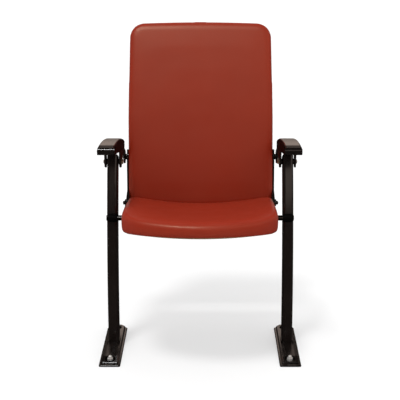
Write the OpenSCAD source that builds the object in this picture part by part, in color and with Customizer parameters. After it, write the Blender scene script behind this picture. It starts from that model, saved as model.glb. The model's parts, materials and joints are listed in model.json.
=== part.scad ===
// Tip-up auditorium seat: one place on two swept-back floor columns.
// Millimetres, +Z up, the sitter faces -Y and +X is the right-hand side of the
// front view. The origin lies on the floor, in the middle of the four anchors.
// The seat is drawn down, as it is used; it tips up about the two pivot pins.

/* [Feet] */
// Distance between the centres of the two feet and columns
column_spacing = 534; // [500:1:600]
// Length of a foot from front to rear
foot_len = 280; // [260:1:320]
// Width of a foot
foot_w = 63; // [58:1:80]
// Height of a foot's top pad
foot_h = 14.5; // [13:0.5:18]
// Height of the thin rim round a foot
foot_rim_h = 4.5; // [4:0.5:6]
// Distance between the front and the rear anchor of a foot
anchor_spacing = 218; // [206:1:222]
// Diameter of an anchor hole
anchor_hole_d = 13; // [10:0.5:15]
// Diameter of the round recess for an anchor nut and washer
anchor_recess_d = 32; // [28:1:36]

/* [Columns] */
// Width of a column, seen from the front
column_w = 31; // [27:1:33]
// Depth of a column, seen from the side
column_d = 56; // [48:1:62]
// Radius of a column's corners
column_corner_r = 7; // [4:0.5:10]
// Wall of a column's tube
column_wall = 5; // [3:0.5:6]
// Radius of the bend that sweeps a column back
column_bend_r = 1700; // [1650:10:1760]
// Lean of a column at the floor, in degrees
column_base_lean = 2.5; // [2:0.1:3]
// Distance of a column's centre at the floor behind the origin
column_base_y = 24; // [18:1:30]
// Height of a column's upper end, at its centre line
column_top_z = 566; // [564:0.5:568]

/* [Armrests] */
// Radius of the long arch of an armrest's top
arm_top_r = 1100; // [1080:10:1120]
// Rise of that arch's highest point above the columns' upper ends
arm_rise = 76.5; // [75:0.5:79]
// Place of that arch's highest point, in front of the origin
arm_apex_y = 60; // [56:1:64]
// Front end of an armrest, in front of the origin
arm_nose_y = 57; // [50:1:66]
// Radius of an armrest's rounded nose
arm_nose_r = 12; // [11:0.5:13]
// Rear end of an armrest, behind the origin
arm_rear_y = 272; // [262:1:276]
// Rise of an armrest's lower rear corner above the columns' upper ends
arm_rear_rise = 6; // [5:0.5:7]
// Radius of an armrest's rear corners
arm_rear_r = 7; // [5:0.5:8]
// Radius of an armrest's long upper edges
arm_edge_r = 7; // [4:0.5:9]

/* [Arm brackets] */
// Thickness of the bracket's two side plates
lug_t = 5; // [4:0.5:6]
// Width of the spacers between the side plates and the column
arm_spacer_w = 4.5; // [3.5:0.5:7]
// Thickness of the plate that carries the armrest
saddle_t = 4; // [3:0.5:5]
// Depth of the cross bolt below the column's upper end
arm_bolt_drop = 14; // [12:0.5:16]
// Radius of the front lugs round the cross bolt
lug_r = 18.5; // [17:0.5:20]
// Place of the rear lug, behind the origin
rear_lug_y = 291; // [288:1:294]
// Depth of the rear lug below the cross bolt
rear_lug_drop = 22; // [19:1:25]
// Radius of the rear lug
rear_lug_r = 21.5; // [20:0.5:23]
// Diameter of the cross bolts
bolt_d = 10; // [8:0.5:12]

/* [Back] */
// How much narrower each side is at the top
back_taper = 6.5; // [0:0.5:12]
// Height of the back's top edge
back_top_z = 954; // [880:1:980]
// Height of the back's lower edge
back_bottom_z = 374; // [370:1:380]
// Radius of the back's upper corners
back_corner_r = 47; // [45:1:70]
// Radius of the back's lower corners
back_foot_r = 34; // [30:1:40]
// Bow of the back's top edge
back_top_bow = 6; // [0:0.5:8]
// Radius of the back's long curve, seen from the side
back_bend_r = 3600; // [3500:20:3800]
// Lean of the back at the height of the pivot, in degrees
back_lean = 9; // [8.6:0.1:9.4]
// Distance of the back's front face behind the origin, at the pivot's height
back_front_y = 232; // [230:0.5:236]
// Thickness of the back cushion
back_pad_t = 36; // [32:0.5:40]
// Thickness of the back board
back_board_t = 9; // [8:0.5:12]
// Wall of the rear shell
back_shell_t = 3; // [2.5:0.5:5]

/* [Back brackets] */
// Thickness of the back bracket's plates
wing_t = 5; // [5:0.5:6]
// Width of the spacer between the back bracket and the arm bracket
back_spacer_w = 6; // [5.5:0.5:8]
// Width of the bracket's flange behind the back
wing_flange_w = 50; // [40:1:60]
// Lower end of the bracket's long edge
wing_low_z = 420; // [414:1:430]
// Upper end of the bracket's long edge
wing_high_z = 560; // [550:1:566]
// Radius of the bracket's end round the stop pin
wing_tip_r = 13; // [11:0.5:15]
// Distance of the stop pin in front of the back's front face
stop_pin_ahead = 20; // [19:0.5:21]
// Height of the stop pin
stop_pin_z = 399; // [398:0.5:400]
// Diameter of the stop pin
stop_pin_d = 10; // [8:0.5:11]
// Outer diameter of the stop pin's rubber sleeve
stop_sleeve_d = 15; // [13:0.5:15.5]

/* [Seat] */
// Place of the seat's pivot, behind the origin
pivot_y = 50; // [49:0.5:51]
// Height of the seat's pivot
pivot_z = 400; // [399:0.5:401]
// Diameter of the pivot pins
pivot_d = 16; // [14:0.5:18]
// Slope of the seat down to the rear, in degrees
seat_tilt = 7.5; // [7:0.1:8]
// How far the seat tips up, in degrees
tip_angle = 75; // [60:1:78]
// Gap between the seat cushion's side and an arm bracket
seat_side_gap = 15.5; // [12:0.5:17]
// Length of the seat cushion in front of the pivot
seat_front = 242; // [215:1:255]
// Gap between the seat cushion and the back, at the pivot's height
seat_rear_gap = 29; // [28:0.5:34]
// Bow of the seat's front edge
seat_bow = 74; // [50:1:85]
// Radius of the seat's front corners
seat_front_r = 62; // [50:1:70]
// Radius of the seat's rear corners
seat_rear_r = 46; // [40:1:50]
// Top of the seat's middle above the pivot
seat_top = 27; // [24:0.5:30]
// Rise of the seat's sides above its middle
seat_dish = 23; // [12:0.5:24]
// Underside of the seat cushion below the pivot
seat_under = 26; // [25:0.5:28]
// Thickness of the seat board
seat_board_t = 12; // [10:0.5:13]
// Depth of the seat cushion's rounded edges
seat_edge_r = 28; // [22:1:32]
// Depth of the pan under the seat board
pan_depth = 7; // [6:0.5:9]
// Wall of the pan
pan_wall = 2; // [1.5:0.5:3]

/* [Hinge] */
// Depth of a hinge plate's inner face inside the seat's side
hinge_in = 22.5; // [20.5:0.5:26.5]
// Thickness of a hinge plate
hinge_t = 5; // [4:0.5:6]
// Radius of the hinge plate round the pivot
hinge_r = 19; // [17:0.5:20]
// Radius of the hinge housing
housing_r = 23; // [22.5:0.5:23]
// Wall of the bush between pin and hinge plate
bush_wall = 3; // [2.5:0.5:4]

/* [Hidden] */
$fn = 64;

paint = "#241d1b";
gloss = "#2b211e";
steel = "#b9b7b2";
vinyl = "#9a2c1f";
plastic = "#1c1a1a";
timber = "#b58a5a";
rubber = "#151515";

// Lengths that serve several pieces
long_fn = 240;
over = 1;
touch = 0.3;
run_gap = 0.05;
half_spacing = column_spacing / 2;
bolt_r = bolt_d / 2;
arm_w = column_w + 2 * (arm_spacer_w + lug_t);
arm_x = half_spacing - arm_w / 2;
arm_top_z = column_top_z + arm_rise;
arm_rear_z = column_top_z + arm_rear_rise;
arm_bolt_z = column_top_z - arm_bolt_drop;
rear_lug_z = arm_bolt_z - rear_lug_drop;
wing_gap = 0.5;
wing_x = arm_x - back_spacer_w - wing_t;
back_half_w = wing_x - wing_gap;
stop_pin_y = back_front_y - stop_pin_ahead;
seat_half_w = arm_x - seat_side_gap;
seat_rear = back_front_y - pivot_y - seat_rear_gap;
hinge_x = seat_half_w - hinge_in;

// Outline tools. A point is [y, z] in a side view and [x, y] in a plan.
function unit(a) = [cos(a), sin(a)];
function mix(a, b, t) = a + (b - a) * t;

// Two round ends joined by their outer tangents
module link(p, rp, q, rq) {
    d = q - p;
    along = atan2(d[1], d[0]);
    spread = acos((rp - rq) / norm(d));
    translate(p) circle(rp);
    translate(q) circle(rq);
    polygon([
        p + rp * unit(along + spread), q + rq * unit(along + spread), q,
        q + rq * unit(along - spread), p + rp * unit(along - spread), p
    ]);
}

module round_rect(w, h, r) {
    square([w - 2 * r, h], center = true);
    square([w, h - 2 * r], center = true);
    for (sx = [-1, 1], sy = [-1, 1]) {
        translate([sx * (w / 2 - r), sy * (h / 2 - r)]) circle(r);
    }
}

// Draws the right-hand piece, or its mirror image on the left
module on_side(side) {
    if (side > 0) children();
    else mirror([1, 0, 0]) children();
}

// A plate with its outline in the side view, from x to x + t
module side_plate(x, t) {
    translate([x, 0, 0]) rotate([90, 0, 90]) linear_extrude(t) children();
}

// A rod or bore along X through the point [y, z], from x to x + h
module cross_rod(x, p, r, h) {
    translate([x, p[0], p[1]]) rotate([0, 90, 0]) cylinder(r = r, h = h);
}

// Turns a section about a level axis behind it. The section's first axis is
// the distance from that axis and its second axis points to -X.
module bend(centre, from, to) {
    translate([0, centre[0], centre[1]]) rotate([90 - from, 0, 0]) rotate([0, -90, 0])
        rotate_extrude(angle = to - from, $fn = long_fn) children();
}

// Columns. The centre line is one arc that leaves the floor nearly upright.
column_centre = [
    column_base_y + column_bend_r * cos(column_base_lean),
    -column_bend_r * sin(column_base_lean)
];
function column_lean(z) = asin((z - column_centre[1]) / column_bend_r);
function column_y(z) = column_centre[0] - column_bend_r * cos(column_lean(z));
cap_t = 3;
cap_plug = 7;

module column_sweep(grow, from, to) {
    bend(column_centre, from, to) translate([column_bend_r, 0])
        round_rect(column_d + 2 * grow, column_w + 2 * grow, column_corner_r + grow);
}

module column_bar() {
    top = column_lean(column_top_z);
    difference() {
        column_sweep(0, column_base_lean, top);
        column_sweep(-column_wall, column_base_lean - over, top + over);
        translate([-foot_w, -foot_len, -foot_h]) cube([2 * foot_w, 2 * foot_len, 2 * foot_h]);
        cross_rod(-column_w, [pivot_y, pivot_z], pivot_d / 2, 2 * column_w);
        cross_rod(-column_w, [arm_bolt_y, arm_bolt_z], bolt_r, 2 * column_w);
    }
}

module column(side) {
    color(paint) on_side(side) translate([half_spacing, 0, 0]) column_bar();
}

module column_cap(side) {
    top = column_lean(column_top_z);
    cap_turn = cap_t / column_bend_r * 180 / PI;
    plug_turn = cap_plug / column_bend_r * 180 / PI;
    color(plastic) on_side(side) translate([half_spacing, 0, 0]) {
        column_sweep(0, top, top + cap_turn);
        column_sweep(-column_wall, top - plug_turn, top);
    }
}

// Feet
foot_edge_r = 5;
foot_rear_cut = 9;
foot_inset = 6;
foot_slope = 1;
foot_bevel_w = 2;
foot_bevel_h = 2.3;
foot_front_step = 13;
foot_front_slope = 32;
foot_front_h = 8.5;
recess_floor = 5;
collar_grow = 4;
collar_h = 7;
spine_low = 4;
anchor_y = anchor_spacing / 2;

// Plan of a foot: rounded at the front and cut off at the rear corners
module foot_plan(inset, front_inset) {
    w = foot_w / 2 - inset;
    y0 = -foot_len / 2 + front_inset;
    y1 = foot_len / 2 - inset;
    for (s = [-1, 1]) {
        translate([s * (w - foot_edge_r), y0 + foot_edge_r]) circle(foot_edge_r, $fn = 32);
    }
    polygon([
        [-w, y0 + foot_edge_r], [w, y0 + foot_edge_r], [w, y1 - foot_rear_cut],
        [w - foot_rear_cut, y1], [foot_rear_cut - w, y1], [-w, y1 - foot_rear_cut]
    ]);
}

// A bevelled rim and, on it, the body with its own bevel and a sloping front
module foot_body() {
    hull() {
        linear_extrude(foot_rim_h - foot_bevel_h) foot_plan(0, 0);
        linear_extrude(foot_rim_h) foot_plan(foot_bevel_w, foot_bevel_w);
    }
    slope_share = (foot_h - foot_bevel_h - foot_front_h) / (foot_h - foot_front_h);
    hull() {
        linear_extrude(foot_front_h - foot_bevel_h) foot_plan(foot_inset, foot_front_step);
        linear_extrude(foot_front_h) foot_plan(foot_inset, foot_front_step + foot_bevel_w);
        linear_extrude(foot_h - foot_bevel_h) foot_plan(
            foot_inset + foot_slope,
            mix(foot_front_step + foot_bevel_w, foot_front_step + foot_front_slope, slope_share));
        linear_extrude(foot_h) foot_plan(
            foot_inset + foot_slope + foot_bevel_w, foot_front_step + foot_front_slope);
    }
}

// The raised spine from the column down to the front and rear recesses
module foot_spine(to_y) {
    reach = anchor_recess_d / 2;
    tip_y = to_y - sign(to_y) * reach;
    hull() {
        translate([0, column_base_y, foot_h - over]) linear_extrude(collar_h)
            square([column_w, column_d], center = true);
        translate([0, tip_y, foot_h - over]) linear_extrude(over + touch)
            square([column_w / 2, spine_low], center = true);
    }
}

module foot(side) {
    color(paint) on_side(side) translate([half_spacing, 0, 0]) difference() {
        union() {
            foot_body();
            foot_spine(-anchor_y);
            foot_spine(anchor_y);
            translate([0, column_base_y, foot_h - over]) linear_extrude(collar_h + over)
                round_rect(column_w + 2 * collar_grow, column_d + 2 * collar_grow,
                    column_corner_r + collar_grow);
        }
        for (y = [-anchor_y, anchor_y]) {
            translate([0, y, -over]) cylinder(d = anchor_hole_d, h = foot_h + 2 * over);
            translate([0, y, recess_floor]) cylinder(d = anchor_recess_d, h = foot_h);
        }
        intersection() {
            column_sweep(touch, column_base_lean - over, column_lean(arm_bolt_z));
            translate([-foot_w, -foot_len, foot_h]) cube([2 * foot_w, 2 * foot_len, 2 * foot_h]);
        }
    }
}

// Armrests. The side view is one arch over a straight, sloping underside.
arm_centre = [-arm_apex_y, arm_top_z - arm_top_r];
function under_arch(y, r) =
    [y, arm_centre[1] + sqrt(pow(arm_top_r - r, 2) - pow(y - arm_centre[0], 2))];
nose_c = under_arch(arm_nose_r - arm_nose_y, arm_nose_r);
tail_top_c = under_arch(arm_rear_y - arm_rear_r, arm_rear_r);
tail_low_c = [arm_rear_y - arm_rear_r, arm_rear_z];
arm_chord = tail_low_c - nose_c;
arm_slope = atan2(arm_chord[1], arm_chord[0]) + asin((arm_nose_r - arm_rear_r) / norm(arm_chord));
nose_low = nose_c + arm_nose_r * unit(arm_slope - 90);
tail_low = tail_low_c + arm_rear_r * unit(arm_slope - 90);
function arm_under(y) = [y, nose_low[1] + (y - nose_low[0]) * tan(arm_slope)];
function out_from_arch(p) = p + (p - arm_centre) / norm(p - arm_centre) * 2 * arm_nose_r;
arm_bar_depth = arm_w * 2;
arm_overrun = 8;
arm_bolt_y = column_y(arm_bolt_z);
arm_bolt = [arm_bolt_y, arm_bolt_z];
rear_lug = [rear_lug_y, rear_lug_z];

module arm_outline() {
    for (c = [tail_top_c, tail_low_c]) translate(c) circle(arm_rear_r);
    translate(nose_c) circle(arm_nose_r);
    polygon([
        nose_c, nose_low, tail_low, tail_low_c, tail_low_c + [arm_rear_r, 0],
        tail_top_c + [arm_rear_r, 0], tail_top_c, out_from_arch(tail_top_c),
        out_from_arch(nose_c)
    ]);
}

// The arch as a curved bar with rounded long edges
module arm_bar() {
    turn = asin((arm_rear_y - arm_centre[0]) / arm_top_r);
    bend(arm_centre, 90 - arm_overrun, 90 + turn + arm_overrun)
        translate([arm_top_r - arm_bar_depth / 2, -half_spacing])
        round_rect(arm_bar_depth, arm_w, arm_edge_r);
}

module armrest(side) {
    color(gloss) on_side(side) difference() {
        intersection() {
            side_plate(arm_x - over, arm_w + 2 * over) arm_outline();
            arm_bar();
        }
        arm_screw_places() translate([0, 0, -over]) cylinder(r = arm_screw_r, h = arm_screw_l + over);
    }
}

// Arm brackets: a saddle plate with two lugs at the column and one at the back
saddle_y0 = arm_bolt_y - lug_r;
saddle_y1 = arm_rear_y - arm_rear_r;
web_h = 17;
arch_r = 78;
arm_screw_r = 2.5;
arm_screw_l = 18;
arm_screw_head_r = 5;
arm_screw_head_h = 3;
arm_screw_shares = [0.42, 0.82];

// Puts its children on the saddle's upper face, square to it
module arm_screw_places() {
    for (t = arm_screw_shares) {
        p = arm_under(mix(saddle_y0, saddle_y1, t));
        translate([arm_x + arm_w / 2, p[0], p[1]]) rotate([arm_slope, 0, 0]) children();
    }
}

module saddle_outline(depth) {
    down = depth * unit(arm_slope - 90);
    polygon([
        arm_under(saddle_y0), arm_under(saddle_y1), arm_under(saddle_y1) + down,
        arm_under(saddle_y0) + down
    ]);
}

module front_lug_outline() {
    translate(arm_bolt) circle(lug_r);
    polygon([
        arm_bolt - [lug_r, 0], arm_bolt + [lug_r, 0], arm_under(arm_bolt_y + lug_r),
        arm_under(arm_bolt_y - lug_r)
    ]);
}

module inner_plate_outline() {
    mid_y = (arm_bolt_y + rear_lug_y) / 2;
    mid_z = arm_under(mid_y)[1] - web_h;
    front_lug_outline();
    translate(rear_lug) circle(rear_lug_r);
    difference() {
        polygon([
            arm_bolt - [0, lug_r], arm_bolt, arm_under(arm_bolt_y), arm_under(saddle_y1),
            rear_lug + rear_lug_r * unit(60), rear_lug, rear_lug - [0, rear_lug_r]
        ]);
        translate([mid_y, mid_z - arch_r]) circle(arch_r);
    }
}

module arm_bracket(side) {
    color(paint) on_side(side) difference() {
        union() {
            side_plate(arm_x, lug_t) inner_plate_outline();
            side_plate(arm_x + arm_w - lug_t, lug_t) front_lug_outline();
            side_plate(arm_x, arm_w) saddle_outline(saddle_t);
        }
        cross_rod(arm_x - over, arm_bolt, bolt_r, arm_w + 2 * over);
        cross_rod(arm_x - over, rear_lug, bolt_r, lug_t + 2 * over);
        arm_screw_places() translate([0, 0, -saddle_t - over])
            cylinder(r = arm_screw_r, h = saddle_t + 2 * over);
    }
}

module armrest_screws() {
    color(steel) for (side = [-1, 1]) on_side(side) arm_screw_places() {
        translate([0, 0, -saddle_t]) cylinder(r = arm_screw_r, h = arm_screw_l + saddle_t);
        translate([0, 0, -saddle_t - arm_screw_head_h])
            cylinder(r = arm_screw_head_r, h = arm_screw_head_h);
    }
}

// Spacers between the lugs and the column
spacer_r = 9;

module arm_spacers() {
    color(paint) for (side = [-1, 1]) on_side(side) {
        for (x = [arm_x + lug_t, half_spacing + column_w / 2]) difference() {
            cross_rod(x, arm_bolt, spacer_r, arm_spacer_w);
            cross_rod(x - over, arm_bolt, bolt_r, arm_spacer_w + 2 * over);
        }
    }
}

// Cross bolts with domed heads outside and nuts inside
head_r = 8.5;
head_h = 5;
dome_r = 10;
nut_r = 8;
nut_h = 6;

// A bolt head whose flat side lies at x, domed towards +X
module domed_head(x, p, r, h) {
    translate([x, p[0], p[1]]) rotate([0, 90, 0]) rotate_extrude() intersection() {
        translate([0, h - dome_r]) circle(dome_r);
        square([r, h + over]);
    }
}

module arm_bolts() {
    color(steel) for (side = [-1, 1]) on_side(side) {
        cross_rod(arm_x - nut_h, arm_bolt, bolt_r, arm_w + nut_h);
        domed_head(arm_x + arm_w, arm_bolt, head_r, head_h);
    }
}

module arm_nuts() {
    color("#a88a4e") for (side = [-1, 1]) on_side(side) difference() {
        translate([arm_x - nut_h, arm_bolt[0], arm_bolt[1]]) rotate([0, 90, 0])
            cylinder(r = nut_r, h = nut_h, $fn = 6);
        cross_rod(arm_x - nut_h - over, arm_bolt, bolt_r, nut_h + 2 * over);
    }
}

// Back. Depth is measured rearwards from the front face of the cushion.
back_centre = [
    back_front_y + back_bend_r * cos(back_lean),
    pivot_z - back_bend_r * sin(back_lean)
];
function back_turn(z) = asin((z - back_centre[1]) / back_bend_r);
function back_at(s, depth) = back_centre
    + (back_bend_r - depth) * unit(180 - back_lean - s / back_bend_r * 180 / PI);
function back_s(z) = (back_turn(z) - back_lean) * PI / 180 * back_bend_r;
board_front = back_pad_t + touch;
board_rear = board_front + back_board_t;
shell_rear = board_rear + back_shell_t;
board_inset = 13;
rim_inset = 5;
back_drop = 9;
rim_front = back_pad_t + 2;

// Front view of the back's hard pieces, from its lower to its upper edge
module back_outline(inset) {
    w = back_half_w - inset;
    top_w = w - back_taper;
    top = back_top_z - back_drop - inset;
    low = back_bottom_z + inset;
    top_r = back_corner_r - inset;
    low_r = back_foot_r - inset;
    mid = (back_top_z + back_bottom_z) / 2;
    for (s = [-1, 1]) {
        translate([s * (top_w - top_r), top - top_r]) circle(top_r);
        translate([s * (w - low_r), low + low_r]) circle(low_r);
    }
    polygon([
        [low_r - w, low], [w - low_r, low], [w, low + low_r], [w, mid],
        [top_w, top - top_r], [top_w - top_r, top], [top_r - top_w, top],
        [-top_w, top - top_r], [-w, mid], [-w, low + low_r]
    ]);
}

module back_layer(inset, depth0, depth1) {
    intersection() {
        bend(back_centre, back_turn(back_bottom_z) - over, back_turn(back_top_z) + over)
            translate([back_bend_r - depth1, -back_half_w])
            square([depth1 - depth0, 2 * back_half_w]);
        translate([0, back_front_y - back_half_w, 0]) rotate([90, 0, 0])
            translate([0, 0, -3 * back_half_w]) linear_extrude(4 * back_half_w) back_outline(inset);
    }
}

module back_board() {
    color(timber) difference() {
        back_layer(board_inset, board_front, board_rear);
        back_screw_places() back_screw_bore();
    }
}

module back_shell() {
    color(plastic) difference() {
        back_layer(rim_inset, rim_front, shell_rear);
        back_layer(board_inset - touch, rim_front - over, board_rear);
        back_screw_places() back_screw_bore();
    }
}

// Back brackets: a side plate with a flange behind the shell and a forward arm
wing_front = 20;
wing_rear = shell_rear + wing_t;
knee_r = 21;
stop_pin = [stop_pin_y, stop_pin_z];
wing_low = back_turn(wing_low_z);
wing_high = back_turn(wing_high_z);
knee = back_at(back_s(wing_low_z), wing_front + knee_r);
back_screw_r = 3;
back_screw_head_r = 6.5;
back_screw_head_h = 3.5;
back_screw_in = 16;
back_screw_shares = [0.16, 0.84];
back_screw_column_share = 0.62;

module back_bracket(side) {
    color(paint) on_side(side) difference() {
        union() {
            bend(back_centre, wing_low, wing_high) {
                translate([back_bend_r - wing_rear, -wing_x - wing_t])
                    square([wing_rear - wing_front, wing_t]);
                translate([back_bend_r - wing_rear, -wing_x - wing_t])
                    square([wing_t, wing_flange_w]);
            }
            side_plate(wing_x, wing_t) link(rear_lug, rear_lug_r, knee, knee_r);
            side_plate(wing_x, wing_t) link(knee, knee_r, stop_pin, wing_tip_r);
        }
        cross_rod(wing_x - over, rear_lug, bolt_r, wing_t + 2 * over);
        cross_rod(wing_x - over, stop_pin, stop_pin_d / 2, wing_t + 2 * over);
        back_screw_places() back_screw_bore();
    }
}

// Places of the screws that hold the flanges, the shell and the board together.
// There, +Z points rearwards out of the flange.
module back_screw_places() {
    for (side = [-1, 1], t = back_screw_shares) {
        turn = mix(wing_low, wing_high, t);
        p = back_centre + (back_bend_r - wing_rear) * unit(180 - turn);
        translate([side * (wing_x - wing_flange_w * (1 - back_screw_column_share)), p[0], p[1]])
            rotate([-90 - turn, 0, 0]) children();
    }
}

module back_screw_bore() {
    translate([0, 0, -back_screw_in]) cylinder(r = back_screw_r, h = 2 * back_screw_in);
}

module back_screws() {
    color(steel) back_screw_places() {
        translate([0, 0, -back_screw_in]) cylinder(r = back_screw_r, h = back_screw_in);
        cylinder(r = back_screw_head_r, h = back_screw_head_h);
    }
}

module back_spacers() {
    color(paint) for (side = [-1, 1]) on_side(side) difference() {
        cross_rod(wing_x + wing_t, rear_lug, spacer_r, back_spacer_w);
        cross_rod(wing_x + wing_t - over, rear_lug, bolt_r, back_spacer_w + 2 * over);
    }
}

module back_bolts() {
    color(steel) for (side = [-1, 1]) on_side(side) {
        cross_rod(wing_x, rear_lug, bolt_r, arm_x + lug_t - wing_x);
        domed_head(arm_x + lug_t, rear_lug, head_r, head_h);
    }
}

// Stop pins: they hold down the seat's rear tongues when the seat is down
tongue_in = 1.5;
pin_head_r = 6;
pin_head_h = 7;
pin_flange_r = 11;
pin_flange_t = 4;

module stop_pins() {
    color(paint) for (side = [-1, 1]) on_side(side) {
        cross_rod(hinge_x - tongue_in, stop_pin, stop_pin_d / 2, wing_x + wing_t - hinge_x + tongue_in);
        cross_rod(wing_x + wing_t, stop_pin, pin_flange_r, pin_flange_t);
        domed_head(wing_x + wing_t + pin_flange_t, stop_pin, pin_head_r, pin_head_h);
    }
}

module stop_sleeves() {
    color(rubber) for (side = [-1, 1]) on_side(side) difference() {
        cross_rod(hinge_x - tongue_in, stop_pin, stop_sleeve_d / 2, wing_x - hinge_x + tongue_in);
        cross_rod(hinge_x - over - tongue_in, stop_pin, stop_pin_d / 2, wing_x);
    }
}

// Soft pads are closed forms of rings, from the underside to the middle of the
// top. A ring is a rounded rectangle with points along its straight sides.
corner_steps = 6;
side_steps = [8, 10];
ring_n = 4 * corner_steps + 4 + 2 * (side_steps[0] - 1) + 2 * (side_steps[1] - 1);
corner_signs = [[1, 1], [-1, 1], [-1, -1], [1, -1]];

function corner_c(q, w, h, radii) = let (k = q % 4, r = radii[k])
    [corner_signs[k][0] * (w - r), corner_signs[k][1] * (h - r)];
function ring(w, h, radii) = [
    for (q = [0:3]) let (
        c = corner_c(q, w, h, radii),
        d = corner_c(q + 1, w, h, radii),
        edge = c + radii[q] * unit(90 * (q + 1)),
        next = d + radii[(q + 1) % 4] * unit(90 * (q + 1)),
        n = side_steps[q % 2]
    ) each concat(
        [for (i = [0:corner_steps]) c + radii[q] * unit(90 * (q + i / corner_steps))],
        [for (j = [1:n - 1]) mix(edge, next, j / n)]
    )
];
function inset_ring(w, h, radii, inset) =
    ring(w - inset, h - inset, [for (r = radii) max(r - inset, r / 3)]);

// Triangles between neighbouring rings, with a fan over each end
function pad_faces(rings) = concat(
    [for (k = [0:rings - 2], i = [0:ring_n - 1]) let (j = (i + 1) % ring_n)
        each [[k * ring_n + i, (k + 1) * ring_n + i, k * ring_n + j],
            [k * ring_n + j, (k + 1) * ring_n + i, (k + 1) * ring_n + j]]],
    [for (i = [0:ring_n - 1]) [rings * ring_n, i, (i + 1) % ring_n]],
    [for (i = [0:ring_n - 1]) let (k = (rings - 1) * ring_n)
        [rings * ring_n + 1, k + (i + 1) % ring_n, k + i]]
);

// Back cushion: inset in mm and depth as a share of the pad, then rings that
// shrink to the middle of the front face
back_edge_r = 26;
back_inset_shares = [0.35, 0.17, 0.04, 0, 0.06, 0.23, 0.5, 0.92];
back_depth_shares = [1, 0.94, 0.78, 0.58, 0.38, 0.2, 0.09, 0.03];
back_shrink_shares = [0.78, 0.52, 0.26];
back_h = (back_s(back_top_z) - back_s(back_bottom_z)) / 2;
back_mid = (back_s(back_top_z) + back_s(back_bottom_z)) / 2;
back_radii = [back_corner_r, back_corner_r, back_foot_r, back_foot_r];
function back_point(p, depth) = let (
        up = max(p[1], 0) / back_h,
        s = back_mid + p[1] - back_top_bow * pow(p[0] / back_half_w, 2) * up,
        q = back_at(s, depth)
    ) [p[0] * (1 - back_taper / back_half_w * up), q[0], q[1]];
function back_ring(k, shrink) = let (
        share = back_depth_shares[k],
        depth = back_pad_t * (shrink < 1 ? round(share) : share)
    ) [for (p = inset_ring(back_half_w, back_h, back_radii, back_edge_r * back_inset_shares[k]))
        back_point(shrink * p, depth)];
back_last = len(back_inset_shares) - 1;
function back_rings() = concat(
    [for (k = [len(back_shrink_shares) - 1:-1:0]) back_ring(0, back_shrink_shares[k])],
    [for (k = [0:back_last]) back_ring(k, 1)],
    [for (f = back_shrink_shares) back_ring(back_last, f)]
);

module back_cushion() {
    rings = back_rings();
    points = concat([for (r = rings) each r], [back_point([0, 0], back_pad_t), back_point([0, 0], 0)]);
    color(vinyl) polyhedron(points, pad_faces(len(rings)), convexity = 4);
}

// Seat. All its pieces are drawn level about the pivot and then tilted.
module seat_frame() {
    translate([0, pivot_y, pivot_z]) rotate([-seat_tilt, 0, 0]) children();
}

seat_inset_shares = [0.45, 0.18, 0.04, 0, 0, 0.04, 0.15, 0.42];
seat_level_shares = [0, 0.06, 0.17, 0.32, 0.61, 0.83, 0.925, 0.988];
seat_shrink_shares = [0.85, 0.64, 0.4, 0.2];
seat_nose_share = 1.6;
seat_nose_lift = 4;
dish_start_share = -0.4;
dish_end_share = 0.5;
seat_h = (seat_front + seat_rear) / 2;
seat_mid = (seat_rear - seat_front) / 2;
seat_radii = [seat_rear_r, seat_rear_r, seat_front_r, seat_front_r];
seat_fall = 1;
function smooth(t) = let (c = min(max(t, 0), 1)) c * c * (3 - 2 * c);
function seat_ahead(p) = (1 - p[1] / seat_h) / 2;
function seat_plan_point(p, inset) = let (bow = seat_bow * pow(p[0] / seat_half_w, 2))
    [p[0], seat_mid + p[1] + (bow + seat_nose_share * inset) * pow(seat_ahead(p), 2)];
function seat_level(p) = let (back = 1 - seat_ahead(p))
    seat_top - seat_fall * back + seat_dish * pow(p[0] / seat_half_w, 2)
        * smooth((back - dish_start_share) / (dish_end_share - dish_start_share));
function seat_point(p, share, inset) = let (q = seat_plan_point(p, inset))
    [q[0], q[1], mix(seat_nose_lift * pow(seat_ahead(p), 2) - seat_under, seat_level(p), share)];
function seat_ring(inset, share, shrink) =
    [for (p = inset_ring(seat_half_w, seat_h, seat_radii, inset)) seat_point(shrink * p, share, inset)];
seat_last_inset = seat_edge_r * seat_inset_shares[len(seat_inset_shares) - 1];
function seat_rings() = concat(
    [for (k = [0:len(seat_inset_shares) - 1])
        seat_ring(seat_edge_r * seat_inset_shares[k], seat_level_shares[k], 1)],
    [for (f = seat_shrink_shares) seat_ring(seat_last_inset, 1, f)]
);

board_in = 17;
board_front_in = 22;
board_lift = 2.4;
board_low = board_lift - seat_under;
board_top = board_low + seat_board_t;
pan_in = 19;
pan_front_in = 40;

// Plan of the seat's hard pieces: a rounded rectangle with a bowed front
module seat_plan(inset, front_inset = 0) {
    w = seat_half_w - inset;
    rear = seat_rear - inset;
    front = inset + front_inset - seat_front;
    r = seat_rear_r - inset / 2;
    bow_r = (pow(w, 2) + pow(seat_bow, 2)) / (2 * seat_bow);
    intersection() {
        translate([0, (rear + front) / 2]) round_rect(2 * w, rear - front, r);
        translate([0, front + bow_r]) circle(bow_r, $fn = long_fn);
    }
}

module seat_cushion() {
    rings = seat_rings();
    points = concat([for (r = rings) each r], [seat_point([0, 0], 0, 0), seat_point([0, 0], 1, 0)]);
    color(vinyl) seat_frame() difference() {
        polyhedron(points, pad_faces(len(rings)), convexity = 6);
        translate([0, 0, -seat_under - over]) linear_extrude(board_top + seat_under + over + touch)
            seat_plan(board_in - touch, board_front_in - touch);
        for (side = [-1, 1]) on_side(side) hinge_pocket();
    }
}

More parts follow.
